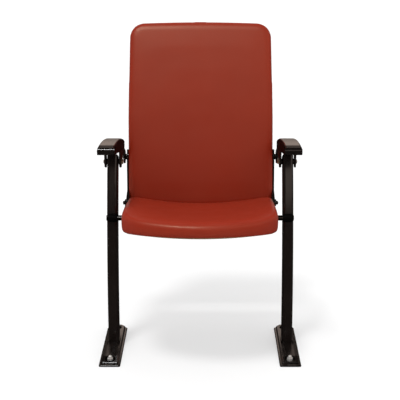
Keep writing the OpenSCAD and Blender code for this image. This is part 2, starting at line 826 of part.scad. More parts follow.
module seat_board() {
    color(timber) seat_frame() difference() {
        translate([0, 0, board_low]) linear_extrude(seat_board_t)
            seat_plan(board_in, board_front_in);
        for (side = [-1, 1]) on_side(side) housing_notch();
        hinge_screw_places() cylinder(r = hinge_screw_r, h = seat_board_t * 4, center = true);
        seat_screw_places() cylinder(r = seat_screw_r, h = seat_board_t * 2, center = true);
    }
}

// Pan: a shallow pressed tray with stiffening ribs that closes the underside
pan_slope = 10;
pan_rib_t = 3;
pan_rib_shares = [-0.66, -0.22, 0.22, 0.66];
seat_screw_r = 2.2;
seat_screw_head_r = 5;
seat_screw_head_h = 2.5;
seat_screw_l = 10;
seat_screw_x_share = 0.72;
seat_screw_y_shares = [-0.42, 0.1, 0.62];

module pan_form(inset, depth) {
    hull() {
        translate([0, 0, board_low - pan_wall]) linear_extrude(pan_wall)
            seat_plan(pan_in + inset, pan_front_in);
        translate([0, 0, board_low - depth]) linear_extrude(pan_wall)
            seat_plan(pan_in + inset + pan_slope, pan_front_in);
    }
}

module seat_screw_places() {
    x = seat_screw_x_share * (seat_half_w - pan_in);
    for (s = [-1, 1], t = seat_screw_y_shares) {
        translate([s * x, seat_mid + t * (seat_h - pan_in), board_low]) children();
    }
}

module seat_pan() {
    color(paint) seat_frame() difference() {
        union() {
            difference() {
                pan_form(0, pan_depth);
                translate([0, 0, touch]) pan_form(pan_wall, pan_depth - pan_wall + touch);
            }
            intersection() {
                pan_form(0, pan_depth);
                union() {
                    for (t = pan_rib_shares) {
                        translate([t * seat_half_w - pan_rib_t / 2, -seat_front, board_low - pan_depth])
                            cube([pan_rib_t, seat_front + seat_rear, pan_depth]);
                    }
                    seat_screw_places() translate([0, 0, -pan_depth])
                        cylinder(r = seat_screw_head_r + pan_wall, h = pan_depth);
                }
            }
        }
        seat_screw_places() {
            cylinder(r = seat_screw_r, h = 3 * pan_depth, center = true);
            translate([0, 0, -pan_depth - over])
                cylinder(r = seat_screw_head_r + touch, h = seat_screw_head_h + over);
        }
    }
}

module seat_screws() {
    color(steel) seat_frame() seat_screw_places() {
        translate([0, 0, -pan_depth + seat_screw_head_h])
            cylinder(r = seat_screw_r, h = pan_depth - seat_screw_head_h + seat_screw_l);
        translate([0, 0, -pan_depth]) cylinder(r = seat_screw_head_r, h = seat_screw_head_h);
    }
}

// Hinge plates, inside the seat's sides, with a tongue under each stop pin
stop_rel = [stop_pin_y - pivot_y, stop_pin_z - pivot_z];
stop_local = [
    stop_rel[0] * cos(seat_tilt) - stop_rel[1] * sin(seat_tilt),
    stop_rel[0] * sin(seat_tilt) + stop_rel[1] * cos(seat_tilt)
];
tongue_r = 5;
tongue_end = [stop_local[0] + tongue_r, stop_local[1] - stop_sleeve_d / 2 - touch - tongue_r];
tongue_root = [hinge_r * 2, tongue_end[1] - tongue_r];
hinge_base_y0 = -38;
hinge_base_y1 = 62;
hinge_base_w = 26;
hinge_base_t = 4;
hinge_screw_r = 2.5;
hinge_screw_head_r = 5;
hinge_screw_head_h = 3;
pocket_gap = 2;
bush_r = pivot_d / 2 + bush_wall;
bush_flange_r = bush_r + 3;
bush_flange_t = 2;
origin_2d = [0, 0];

module hinge_outline() {
    link(origin_2d, hinge_r, tongue_root, tongue_r * 2);
    link(tongue_root, tongue_r * 2, tongue_end, tongue_r);
    polygon([
        [hinge_base_y0, board_top], [hinge_base_y1, board_top],
        [hinge_base_y1, board_top + hinge_base_t * 2], [hinge_r, 0], [-hinge_r, 0],
        [hinge_base_y0, board_top + hinge_base_t * 2]
    ]);
}

module hinge_plate(side) {
    color(steel) seat_frame() on_side(side) difference() {
        union() {
            side_plate(hinge_x, hinge_t) hinge_outline();
            translate([hinge_x + hinge_t - hinge_base_w, hinge_base_y0, board_top])
                cube([hinge_base_w, hinge_base_y1 - hinge_base_y0, hinge_base_t]);
        }
        cross_rod(hinge_x - over, origin_2d, bush_r, hinge_t + 2 * over);
        cross_rod(0, origin_2d, housing_r + touch, hinge_x);
        hinge_screw_places() cylinder(r = hinge_screw_r, h = seat_board_t * 4, center = true);
    }
}

// Two screws through each hinge plate's base, from above into the board
hinge_screw_in = 5;
module hinge_screw_places() {
    x = hinge_x + hinge_t - hinge_base_w + hinge_screw_head_r + touch;
    for (side = [-1, 1], y = [hinge_base_y0 + hinge_screw_in, hinge_base_y1 - hinge_screw_in * 3]) {
        translate([side * x, y, board_top + hinge_base_t]) children();
    }
}

module hinge_screws() {
    color(steel) seat_frame() hinge_screw_places() {
        translate([0, 0, -hinge_base_t - seat_board_t / 2])
            cylinder(r = hinge_screw_r, h = hinge_base_t + seat_board_t / 2);
        cylinder(r = hinge_screw_head_r, h = hinge_screw_head_h);
    }
}

module pivot_bushes() {
    color(plastic) seat_frame() for (side = [-1, 1]) on_side(side) difference() {
        union() {
            cross_rod(hinge_x, origin_2d, bush_r, hinge_t + bush_flange_t);
            cross_rod(hinge_x + hinge_t, origin_2d, bush_flange_r, bush_flange_t);
        }
        cross_rod(hinge_x - over, origin_2d, pivot_d / 2 + run_gap, hinge_t + bush_flange_t + 2 * over);
    }
}

// Pivot pins, fixed in the columns, with a shoulder for the stop dog
housing_wall = 4;
housing_floor = 3;
dog_t = 10;
dog_gap = 2;
dog_run = 1.5;
dog_r = housing_r - housing_wall - dog_run;
dog_hub_r = 10.5;
dog_tooth = 30;
dog_at = 90;
spigot_r = 6;
clip_t = 1.5;
clip_r = 8.5;
dog_x1 = hinge_x - dog_gap;
dog_x0 = dog_x1 - dog_t;
pivot = [pivot_y, pivot_z];

module pivot_pin(side) {
    pin_end = half_spacing + column_w / 2 - touch;
    color(paint) on_side(side) {
        cross_rod(dog_x1, pivot, pivot_d / 2, pin_end - dog_x1);
        cross_rod(dog_x0 - clip_t, pivot, spigot_r, dog_t + clip_t + over);
    }
}

// Side view of a sector of a ring between r0 and r1, through a turn
sector_steps = 4;
module sector_outline(r0, r1, from, turn) {
    intersection() {
        difference() {
            circle(r1);
            circle(r0);
        }
        polygon(concat([origin_2d],
            [for (i = [0:sector_steps]) 2 * r1 * unit(from + turn * i / sector_steps)]));
    }
}

module stop_dog(side) {
    color(steel) translate([0, pivot_y, pivot_z]) on_side(side) side_plate(dog_x0, dog_t) difference() {
        union() {
            circle(dog_hub_r);
            sector_outline(spigot_r + over, dog_r, dog_at - dog_tooth / 2, dog_tooth);
        }
        circle(spigot_r);
    }
}

module pivot_pin_clips() {
    color(steel) for (side = [-1, 1]) on_side(side) difference() {
        cross_rod(dog_x0 - clip_t, pivot, clip_r, clip_t);
        cross_rod(dog_x0 - clip_t - over, pivot, spigot_r, clip_t + 2 * over);
    }
}

// Hinge housings: cups whose solid sector stops the dog at both ends
clip_gap = 1;
stop_gap = 1;
housing_depth = dog_gap + dog_t + clip_t + clip_gap;
housing_x0 = hinge_x - housing_depth - housing_floor;

module hinge_housing(side) {
    free = dog_tooth + tip_angle + 2 * stop_gap;
    from = dog_at + seat_tilt + dog_tooth / 2 + tip_angle + stop_gap;
    color(plastic) seat_frame() on_side(side) difference() {
        cross_rod(housing_x0, origin_2d, housing_r, housing_depth + housing_floor);
        side_plate(housing_x0 + housing_floor, housing_depth + over) difference() {
            circle(housing_r - housing_wall);
            sector_outline(dog_hub_r + over, housing_r, from, 360 - free);
        }
    }
}

// Room for the hinge plate's round end and its housing at the edge of the seat board
notch_gap = 6;
module housing_notch() {
    reach = housing_r + notch_gap;
    translate([housing_x0 - touch, -reach, board_low - over])
        cube([seat_half_w, 2 * reach, seat_board_t + 2 * over]);
}

// Room for a hinge plate, its housing and the pivot pin inside the cushion
module hinge_pocket() {
    base_x = hinge_x + hinge_t - hinge_base_w;
    cross_rod(housing_x0 - pocket_gap, origin_2d, housing_r + pocket_gap,
        hinge_x - housing_x0 + pocket_gap);
    translate([base_x - pocket_gap, hinge_base_y0 - pocket_gap, -seat_under - over])
        cube([hinge_base_w + 2 * pocket_gap, hinge_base_y1 - hinge_base_y0 + 2 * pocket_gap,
            seat_under + over + hinge_r + pocket_gap]);
    side_plate(hinge_x - pocket_gap / 2, hinge_t + pocket_gap)
        link(tongue_root, tongue_r * 2 + pocket_gap, tongue_end + [seat_rear, 0], tongue_r + pocket_gap);
    cross_rod(hinge_x, origin_2d, bush_flange_r + pocket_gap, hinge_t + bush_flange_t + pocket_gap);
    cross_rod(hinge_x, origin_2d, pivot_d / 2 + pocket_gap, half_spacing - hinge_x);
}

foot(-1);  // left_foot
foot(1);  // right_foot
column(-1);  // left_column
column(1);  // right_column
column_cap(-1);  // left_column_cap
column_cap(1);  // right_column_cap
armrest(-1);  // left_armrest
armrest(1);  // right_armrest
arm_bracket(-1);  // left_arm_bracket
arm_bracket(1);  // right_arm_bracket
arm_spacers();
arm_bolts();
arm_nuts();
armrest_screws();
back_bracket(-1);  // left_back_bracket
back_bracket(1);  // right_back_bracket
back_spacers();
back_bolts();
back_board();
back_shell();
back_cushion();
back_screws();
pivot_pin(-1);  // left_pivot_pin
pivot_pin(1);  // right_pivot_pin
stop_dog(-1);  // left_stop_dog
stop_dog(1);  // right_stop_dog
pivot_pin_clips();
stop_pins();
stop_sleeves();
seat_cushion();
seat_board();
seat_pan();
hinge_plate(-1);  // left_hinge_plate
hinge_plate(1);  // right_hinge_plate
hinge_housing(-1);  // left_hinge_housing
hinge_housing(1);  // right_hinge_housing
pivot_bushes();
seat_screws();
hinge_screws();
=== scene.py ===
"""Dresses the tip-up auditorium seat: upholstery, finishes, small hardware and studio.

Everything is in metres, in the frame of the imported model: +Z up, the sitter faces -Y
and +X is on the right of the front view. The seat is modelled down, as it is used.
"""

from __future__ import annotations

import json
import logging
import math
from dataclasses import dataclass
from enum import Enum
from typing import Callable, Sequence

import bpy
import numpy as np
from mathutils import Matrix, Vector


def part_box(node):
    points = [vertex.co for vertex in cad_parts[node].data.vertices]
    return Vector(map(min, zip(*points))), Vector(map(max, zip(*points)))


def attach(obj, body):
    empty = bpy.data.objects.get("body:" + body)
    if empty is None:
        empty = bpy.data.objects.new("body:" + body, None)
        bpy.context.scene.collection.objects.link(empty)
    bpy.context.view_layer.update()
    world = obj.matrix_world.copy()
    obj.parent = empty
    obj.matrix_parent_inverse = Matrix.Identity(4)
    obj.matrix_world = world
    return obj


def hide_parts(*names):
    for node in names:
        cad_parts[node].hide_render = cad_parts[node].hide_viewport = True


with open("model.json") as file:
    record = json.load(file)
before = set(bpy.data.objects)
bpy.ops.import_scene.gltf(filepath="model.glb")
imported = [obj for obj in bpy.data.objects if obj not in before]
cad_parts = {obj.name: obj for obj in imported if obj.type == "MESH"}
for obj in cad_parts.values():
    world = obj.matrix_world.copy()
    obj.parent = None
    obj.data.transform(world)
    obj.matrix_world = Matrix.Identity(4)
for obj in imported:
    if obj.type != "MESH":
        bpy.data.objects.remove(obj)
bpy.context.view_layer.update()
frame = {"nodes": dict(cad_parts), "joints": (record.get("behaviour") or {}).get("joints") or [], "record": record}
log = logging.getLogger("auditorium_seat")

Colour = tuple[float, float, float]
Range = tuple[float, float]
Socket = bpy.types.NodeSocket

WHITE: Colour = (1.0, 1.0, 1.0)
QUARTER_TURN = math.radians(90)
SHARP_EDGE = math.radians(40)
SMOOTH_EDGE = math.radians(30)
LEVEL_FACE = 0.9
MM_PER_METRE = 1000


class Body(str, Enum):
    """The two rigid bodies of the seat."""

    FRAME = "frame"
    SEAT = "seat"


class Side(int, Enum):
    """The sitter's two sides, as the sign of X."""

    LEFT = -1
    RIGHT = 1


# Materials


@dataclass(frozen=True)
class Noise:
    """Soft random variation: cells per metre, octaves, their strength and the values in use."""

    scale: float
    detail: float = 3.0
    rough: float = 0.5
    low: float = 0.0
    high: float = 1.0


class Nodes:
    """An empty node tree and the small steps that build one."""

    def __init__(self, tree: bpy.types.NodeTree) -> None:
        """Empties the tree.

        Args:
            tree: The tree of a material or of the world.
        """
        self.tree = tree
        self.tree.nodes.clear()

    def node(self, kind: str, **settings: object) -> bpy.types.ShaderNode:
        """Adds a node.

        Args:
            kind: The node's type.
            settings: Properties of the node, by name.

        Returns:
            The new node.
        """
        made = self.tree.nodes.new(kind)
        for key, value in settings.items():
            setattr(made, key, value)
        return made

    def link(self, source: Socket, target: Socket) -> None:
        """Joins two sockets."""
        self.tree.links.new(source, target)

    def remap(self, value: Socket, low: float, high: float, to_low: float, to_high: float,
              curve: str = "LINEAR") -> Socket:
        """Returns a value moved from one range to another and held inside it."""
        made = self.node("ShaderNodeMapRange", interpolation_type=curve)
        for name, number in (("From Min", low), ("From Max", high),
                             ("To Min", to_low), ("To Max", to_high)):
            made.inputs[name].default_value = number
        self.link(value, made.inputs["Value"])
        return made.outputs["Result"]

    def step(self, value: Socket, edge: Range, low: float = 0.0, high: float = 1.0) -> Socket:
        """Returns low before an edge and high beyond it, with a soft step between."""
        return self.remap(value, *edge, low, high, "SMOOTHSTEP")

    def fill(self, socket: Socket, source: object) -> None:
        """Puts a constant on a socket, or links another socket to it."""
        if isinstance(source, Socket):
            self.link(source, socket)
        elif isinstance(source, tuple):
            socket.default_value = (*source, 1.0)
        else:
            socket.default_value = source

    def mix(self, share: Socket, first: object, second: object, kind: str = "FLOAT") -> Socket:
        """Returns what lies between two values or two colours, by a share from 0 to 1."""
        made = self.node("ShaderNodeMix", data_type=kind)
        factor, low, high = (socket for socket in made.inputs if socket.enabled)
        self.link(share, factor)
        self.fill(low, first)
        self.fill(high, second)
        return next(socket for socket in made.outputs if socket.enabled)

    def math(self, operation: str, *values: object) -> Socket:
        """Returns the result of a sum on sockets and constants."""
        made = self.node("ShaderNodeMath", operation=operation)
        for socket, value in zip(made.inputs, values):
            self.fill(socket, value)
        return made.outputs[0]

    def parts(self, vector: Socket) -> bpy.types.bpy_prop_collection:
        """Returns the X, Y and Z of a vector, by name."""
        made = self.node("ShaderNodeSeparateXYZ")
        self.link(vector, made.inputs[0])
        return made.outputs


class Graph(Nodes):
    """The node tree of one material, with a Principled shader at its end."""

    def __init__(self, name: str) -> None:
        """Makes the material.

        Args:
            name: The material's name.
        """
        self.material = bpy.data.materials.new(name)
        self.material.use_nodes = True
        super().__init__(self.material.node_tree)
        self.shader = self.node("ShaderNodeBsdfPrincipled")
        output = self.node("ShaderNodeOutputMaterial")
        self.link(self.shader.outputs["BSDF"], output.inputs["Surface"])
        coordinates = self.node("ShaderNodeTexCoord").outputs
        self.place = coordinates["Object"]
        self.normal = coordinates["Normal"]

    def set(self, **values: object) -> None:
        """Sets constants on the shader, with underscores for the spaces in a socket's name."""
        for key, value in values.items():
            self.fill(self.shader.inputs[key.replace("_", " ")], value)

    def stretched(self, scale: Sequence[float]) -> Socket:
        """Returns the object's coordinates, scaled along each axis."""
        mapping = self.node("ShaderNodeMapping")
        mapping.inputs["Scale"].default_value = scale
        self.link(self.place, mapping.inputs["Vector"])
        return mapping.outputs["Vector"]

    def noise(self, noise: Noise, place: Socket | None = None) -> Socket:
        """Adds soft random variation.

        Args:
            noise: Its size and its octaves.
            place: Coordinates, or None for the object's own.

        Returns:
            The value, from 0 to 1.
        """
        made = self.node("ShaderNodeTexNoise")
        made.inputs["Scale"].default_value = noise.scale
        made.inputs["Detail"].default_value = noise.detail
        made.inputs["Roughness"].default_value = noise.rough
        self.link(place or self.place, made.inputs["Vector"])
        return made.outputs["Fac"]

    def spread(self, noise: Noise, low: float = 0.0, high: float = 1.0,
               place: Socket | None = None) -> Socket:
        """Returns noise whose values in use are moved to the range from low to high."""
        return self.remap(self.noise(noise, place), noise.low, noise.high, low, high)

    def cells(self, scale: float) -> Socket:
        """Returns the distance within random cells, `scale` of them per metre."""
        made = self.node("ShaderNodeTexVoronoi")
        made.inputs["Scale"].default_value = scale
        self.link(self.place, made.inputs["Vector"])
        return made.outputs["Distance"]

    def blend(self, share: Socket, first: Colour, second: Colour) -> Socket:
        """Returns a colour between two, by a share from 0 to 1."""
        return self.mix(share, first, second, "RGBA")

    def sum(self, first: Socket, second: Socket, share: float) -> Socket:
        """Returns the first value plus a share of the second."""
        return self.math("MULTIPLY_ADD", second, share, first)

    def bump(self, height: Socket, depth: float, strength: float, under: Socket | None = None) -> Socket:
        """Adds relief.

        Args:
            height: The relief's height, from 0 to 1.
            depth: Metres from 0 to 1.
            strength: Share of the relief that is used.
            under: A normal that the relief is added to.

        Returns:
            The new normal.
        """
        made = self.node("ShaderNodeBump")
        made.inputs["Strength"].default_value = strength
        made.inputs["Distance"].default_value = depth
        self.link(height, made.inputs["Height"])
        if under is not None:
            self.link(under, made.inputs["Normal"])
        return made.outputs["Normal"]

    def sides(self, turn: Range) -> Socket:
        """Returns 1 on faces that look along X and 0 on the others, by the normal's X."""
        return self.step(self.math("ABSOLUTE", self.parts(self.normal)["X"]), turn)

    def finish(self, colour: Socket, roughness: Socket, normal: Socket) -> bpy.types.Material:
        """Joins the last sockets to the shader and returns the material."""
        self.link(colour, self.shader.inputs["Base Color"])
        self.link(roughness, self.shader.inputs["Roughness"])
        self.link(normal, self.shader.inputs["Normal"])
        return self.material


@dataclass(frozen=True)
class Vinyl:
    """Grained upholstery vinyl with a soft gloss."""

    name: str = "red_vinyl"
    colour: Colour = (0.345, 0.0225, 0.0068)
    deep: Colour = (0.310, 0.0180, 0.0050)
    gloss: Range = (0.35, 0.43)
    level: float = 0.50
    sheen_tint: Colour = (1.0, 0.84, 0.62)
    patches: Noise = Noise(5.0, 2.0, low=0.3, high=0.7)
    patch_share: float = 0.75
    specks: Noise = Noise(900.0, 1.0)
    speck_share: float = 0.25
    rubbed: Noise = Noise(14.0, low=0.25, high=0.75)
    grain: float = 620.0
    grain_depth: float = 0.00009
    grain_strength: float = 0.55
    pores: Noise = Noise(372.0, 2.0)
    pore_share: float = 0.6
    swell: Noise = Noise(9.0, 1.5, 0.4)
    swell_depth: float = 0.0011
    swell_strength: float = 0.5

    def make(self) -> bpy.types.Material:
        """Returns the material."""
        g = Graph(self.name)
        g.set(Specular_IOR_Level=self.level, Specular_Tint=self.sheen_tint)
        tone = g.sum(g.spread(self.patches, 0.0, self.patch_share), g.noise(self.specks), self.speck_share)
        pores = g.sum(g.cells(self.grain), g.noise(self.pores), self.pore_share)
        soft = g.bump(g.noise(self.swell), self.swell_depth, self.swell_strength)
        normal = g.bump(pores, self.grain_depth, self.grain_strength, soft)
        gloss = g.spread(self.rubbed, *self.gloss)
        return g.finish(g.blend(tone, self.colour, self.deep), gloss, normal)


@dataclass(frozen=True)
class Paint:
    """Glossy stoved paint over metal, duller on the faces that look sideways, whose reflection is mostly taken out
    there as painted shade.
    """

    name: str
    colour: Colour
    worn: Colour
    gloss: Range
    level: float = 0.45
    # painted shade: faces that look sideways keep almost none of the reflection
    side_level: float = 0.03
    side_gloss: float = 0.45
    side_turn: Range = (0.55, 0.90)
    patches: Noise = Noise(24.0, 5.0, 0.6, 0.45, 0.75)
    dust: Noise = Noise(35.0, 5.0, 0.65, 0.3, 0.8)
    peel: float = 150.0
    peel_depth: float = 0.00012
    peel_strength: float = 0.5
    finer: float = 6.0
    finer_share: float = 0.25

    def make(self) -> bpy.types.Material:
        """Returns the material."""
        g = Graph(self.name)
        side = g.sides(self.side_turn)
        g.link(self.sheen(g, side), g.shader.inputs["Specular IOR Level"])
        tone = g.spread(self.patches)
        dust = g.spread(self.dust, *self.gloss)
        fine = g.noise(Noise(self.peel * self.finer, 1.0))
        peel = g.sum(g.noise(Noise(self.peel, 2.0)), fine, self.finer_share)
        return g.finish(g.blend(tone, self.colour, self.worn), g.mix(side, dust, self.side_gloss),
                        g.bump(peel, self.peel_depth, self.peel_strength))

    def sheen(self, g: Graph, side: Socket) -> Socket:
        """Returns the specular level, nearly none on the sides as painted shade."""
        return g.mix(side, self.level, self.side_level)


@dataclass(frozen=True)
class CastPaint(Paint):
    """Paint on the cast feet: brushed lengthways, with a painted reflection that is strong on the inner half and
    almost gone on the outer half, and painted shade at the lower edge.
    """

    middle: float = 0.267
    half: float = 0.018
    # painted reflection: specular level of the outer and of the inner half of the top
    outer_level: float = 0.04
    inner_level: float = 1.40
    upward: Range = (0.75, 0.92)
    # heights of the lower edge where the reflection fades out as painted shade
    scuffs_and_shaded_edge: Range = (0.0030, 0.0042)
    brushed: tuple[float, float, float] = (330.0, 5.0, 60.0)
    brushing: Noise = Noise(1.0, 3.0, 0.6, 0.3, 0.7)
    streaks: Range = (0.55, 1.45)

    def sheen(self, g: Graph, side: Socket) -> Socket:
        """Returns the specular level: streaked, a painted reflection high on the inner half and low on the outer
        half, and painted shade at the lower edge.
        """
        place = g.parts(g.place)
        off = g.math("SUBTRACT", g.math("ABSOLUTE", place["X"]), self.middle)
        # painted reflection: strong on the inner half of the top, almost none on the outer half
        flat = g.remap(off, -self.half, self.half, self.inner_level, self.outer_level)
        streaks = g.spread(self.brushing, *self.streaks, g.stretched(self.brushed))
        upward = g.remap(g.parts(g.normal)["Z"], *self.upward, 0.0, 1.0)
        level = g.mix(upward, self.level, g.math("MULTIPLY", flat, streaks))
        # painted shade: the reflection fades out towards the lower edge
        edge = g.remap(place["Z"], *self.scuffs_and_shaded_edge, 1.0, 0.0)
        return g.mix(g.math("MAXIMUM", side, edge), level, self.side_level)


@dataclass(frozen=True)
class Moulded:
    """Moulded plastic or rubber with an eroded grain."""

    name: str
    colour: Colour
    scuffs_and_shaded_edge: Colour
    gloss: Range
    level: float = 0.4
    patches: Noise = Noise(18.0, 6.0, 0.7, 0.5, 0.8)
    rubbed: Noise = Noise(30.0, 4.0, low=0.3, high=0.75)
    grain: float = 700.0
    grain_depth: float = 0.00008
    grain_strength: float = 0.6
    finer: float = 1.8
    finer_share: float = 0.5

    def make(self) -> bpy.types.Material:
        """Returns the material."""
        g = Graph(self.name)
        g.set(Specular_IOR_Level=self.level)
        tone = g.spread(self.patches)
        fine = g.noise(Noise(self.grain * self.finer, 2.0))
        grain = g.sum(g.cells(self.grain), fine, self.finer_share)
        gloss = g.spread(self.rubbed, *self.gloss)
        return g.finish(g.blend(tone, self.colour, self.scuffs_and_shaded_edge), gloss,
                        g.bump(grain, self.grain_depth, self.grain_strength))


@dataclass(frozen=True)
class ArmrestSkin:
    """Polished moulding whose upright sides have a matt grain and, as painted shade, almost no reflection."""

    name: str = "armrest_skin"
    colour: Colour = (0.0036, 0.0024, 0.0020)
    mottled: Colour = (0.0080, 0.0052, 0.0042)
    gloss: Range = (0.14, 0.18)
    level: float = 0.5
    # painted shade: the upright sides keep almost none of the reflection
    side_level: float = 0.04
    side_gloss: float = 0.62
    side_turn: Range = (0.45, 0.85)
    mottle: Noise = Noise(1.0, 4.0, 0.6, 0.35, 0.75)
    mottle_scale: tuple[float, float, float] = (90.0, 30.0, 90.0)
    grain: Noise = Noise(420.0, 2.0)
    grain_depth: float = 0.00006
    grain_strength: float = 0.4
    nose_from: float = -0.016
    nose_span: float = 0.028
    nose_fall: float = 9.0

    def make(self) -> bpy.types.Material:
        """Returns the material, whose relief rounds the armrest's nose."""
        g = Graph(self.name)
        side = g.sides(self.side_turn)
        ahead = g.remap(g.parts(g.place)["Y"], self.nose_from - self.nose_span, self.nose_from,
                        self.nose_span, 0.0)
        nose = g.math("MULTIPLY", g.math("MULTIPLY", ahead, ahead), -self.nose_fall)
        mottle = g.spread(self.mottle, place=g.stretched(self.mottle_scale))
        gloss = g.mix(side, g.remap(mottle, 0.0, 1.0, *self.gloss), self.side_gloss)
        # painted shade: the reflection is nearly taken out on the upright sides
        g.link(g.mix(side, self.level, self.side_level), g.shader.inputs["Specular IOR Level"])
        grain = g.bump(g.noise(self.grain), self.grain_depth, self.grain_strength,
                       g.bump(nose, depth=1.0, strength=1.0))
        return g.finish(g.blend(mottle, self.colour, self.mottled), gloss, grain)


@dataclass(frozen=True)
class BareMetal:
    """Plated or brushed metal: fine streaks along one axis and stains in its colour."""

    name: str
    colour: Colour
    stain: Colour
    gloss: Range
    metallic: float = 1.0
    stains: Noise = Noise(90.0, 4.0, 0.6, 0.4, 0.75)
    streaks: Noise = Noise(1.0, 2.0, 0.5, 0.3, 0.7)
    streak_scale: tuple[float, float, float] = (60.0, 900.0, 900.0)
    streak_depth: float = 0.00002
    streak_strength: float = 0.4

    def make(self) -> bpy.types.Material:
        """Returns the material."""
        g = Graph(self.name)
        g.set(Metallic=self.metallic)
        tone = g.spread(self.stains)
        streaks = g.noise(self.streaks, g.stretched(self.streak_scale))
        gloss = g.remap(streaks, self.streaks.low, self.streaks.high, *self.gloss)
        return g.finish(g.blend(tone, self.colour, self.stain), gloss,
                        g.bump(streaks, self.streak_depth, self.streak_strength))


@dataclass(frozen=True)
class Plywood:
    """Birch plywood: long grain on the faces and thin plies at the edges."""

    name: str = "birch_ply"
    light: Colour = (0.55, 0.37, 0.20)
    dark: Colour = (0.36, 0.21, 0.10)
    gloss: Range = (0.5, 0.7)
    level: float = 0.3
    grain: Noise = Noise(1.0, 4.0, 0.6, 0.3, 0.7)
    grain_scale: tuple[float, float, float] = (14.0, 240.0, 240.0)
    grain_depth: float = 0.0002
    grain_strength: float = 0.4
    ply: float = 0.0014
    wave_length: float = 0.31
    waviness: float = 1.2
    ply_share: float = 0.3
    tones: Range = (0.3, 0.9)

    def make(self) -> bpy.types.Material:
        """Returns the material."""
        g = Graph(self.name)
        g.set(Specular_IOR_Level=self.level)
        grain = g.noise(self.grain, g.stretched(self.grain_scale))
        plies = g.node("ShaderNodeTexWave", wave_type="BANDS", bands_direction="DIAGONAL")
        plies.inputs["Scale"].default_value = self.wave_length / self.ply
        plies.inputs["Distortion"].default_value = self.waviness
        g.link(g.place, plies.inputs["Vector"])
        tone = g.remap(g.sum(grain, plies.outputs["Fac"], self.ply_share), *self.tones, 0.0, 1.0)
        gloss = g.remap(grain, self.grain.low, self.grain.high, *self.gloss)
        return g.finish(g.blend(tone, self.light, self.dark), gloss,
                        g.bump(grain, self.grain_depth, self.grain_strength))


class Finishes:
    """Every material of the seat, made once, and the CAD pieces that wear each."""

    def __init__(self) -> None:
        """Makes the materials."""
        self.vinyl = Vinyl().make()
        self.paint = Paint("dark_enamel", (0.0085, 0.0055, 0.0046), (0.012, 0.0080, 0.0068),
                           (0.13, 0.22)).make()
        self.cast = CastPaint("cast_enamel", (0.0045, 0.0031, 0.0026), (0.011, 0.0075, 0.0062),
                              (0.19, 0.25), level=0.36, side_level=0.08, side_gloss=0.30,
                              peel=110.0, peel_depth=0.00035).make()
        self.matt = Paint("matt_enamel", (0.0026, 0.0020, 0.0018), (0.004, 0.0030, 0.0026),
                          (0.5, 0.65), level=0.03).make()
        self.armrest = ArmrestSkin().make()
        self.plastic = Moulded("black_plastic", (0.012, 0.0115, 0.0115), (0.017, 0.016, 0.016),
                               (0.40, 0.52)).make()
        self.rubber = Moulded("stop_rubber", (0.008, 0.008, 0.008), (0.018, 0.017, 0.016),
                              (0.6, 0.8), grain=400.0).make()
        self.chrome = BareMetal("bright_bolts", (0.80, 0.79, 0.77), (0.60, 0.58, 0.55), (0.12, 0.28)).make()
        self.zinc = BareMetal("zinc_steel", (0.52, 0.52, 0.51), (0.36, 0.35, 0.33), (0.28, 0.48)).make()
        self.brass = BareMetal("brass_nuts", (0.80, 0.68, 0.46), (0.55, 0.44, 0.26), (0.18, 0.32)).make()
        self.rod = BareMetal("polished_rod", (0.065, 0.062, 0.06), (0.045, 0.043, 0.04), (0.06, 0.12)).make()
        self.bright = BareMetal("bright_nuts", (0.80, 0.78, 0.75), (0.62, 0.60, 0.57), (0.26, 0.38),
                                metallic=0.6).make()
        self.plywood = Plywood().make()

    def dress_frame(self) -> None:
        """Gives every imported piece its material."""
        worn_by = {
            self.cast: ["left_foot", "right_foot"],
            self.paint: ["left_column", "right_column", "left_arm_bracket", "right_arm_bracket",
                         "arm_spacers", "left_back_bracket", "right_back_bracket", "back_spacers",
                         "stop_pins", "seat_pan", "seat_screws"],
            self.rod: ["left_pivot_pin", "right_pivot_pin"],
            self.armrest: ["left_armrest", "right_armrest"],
            self.plastic: ["left_column_cap", "right_column_cap", "back_shell",
                           "left_hinge_housing", "right_hinge_housing", "pivot_bushes"],
            self.rubber: ["stop_sleeves"],
            self.chrome: ["arm_bolts", "back_bolts"],
            self.zinc: ["armrest_screws", "back_screws", "hinge_screws",
                        "left_hinge_plate", "right_hinge_plate", "left_stop_dog", "right_stop_dog",
                        "pivot_pin_clips"],
            self.brass: ["arm_nuts"],
            self.plywood: ["back_board", "seat_board"],
            self.vinyl: ["back_cushion", "seat_cushion"],
        }
        for material, nodes in worn_by.items():
            for node in nodes:
                wear(frame["nodes"][node], material)


# Modelling help


def wear(piece: bpy.types.Object, material: bpy.types.Material) -> None:
    """Puts one material in all slots of a piece."""
    if not piece.data.materials:
        piece.data.materials.append(material)
    for slot in range(len(piece.data.materials)):
        piece.data.materials[slot] = material


def clear_selection() -> None:
    """Deselects every object."""
    for other in bpy.context.selected_objects:
        other.select_set(False)


def only(piece: bpy.types.Object) -> bpy.types.Object:
    """Selects one object alone and makes it the active one."""
    clear_selection()
    piece.select_set(True)
    bpy.context.view_layer.objects.active = piece
    return piece


def select_where(piece: bpy.types.Object, test: Callable[[bpy.types.MeshPolygon], bool]) -> None:
    """Selects the faces that pass a test and nothing else, then enters edit mode.

    Args:
        piece: The object.
        test: Whether a face is selected.
    """
    only(piece)
    mesh = piece.data
    mesh.vertices.foreach_set("select", [False] * len(mesh.vertices))
    mesh.edges.foreach_set("select", [False] * len(mesh.edges))
    for face in mesh.polygons:
        face.select = test(face)
    bpy.ops.object.mode_set(mode="EDIT")
    bpy.ops.mesh.select_mode(type="FACE")


def leave_edit() -> None:
    """Goes back to object mode."""
    bpy.ops.object.mode_set(mode="OBJECT")


def settle(piece: bpy.types.Object) -> bpy.types.Object:
    """Moves a piece's place into its mesh, so that its object sits at the origin."""
    only(piece)
    bpy.ops.object.transform_apply(location=True, rotation=True, scale=True)
    return piece


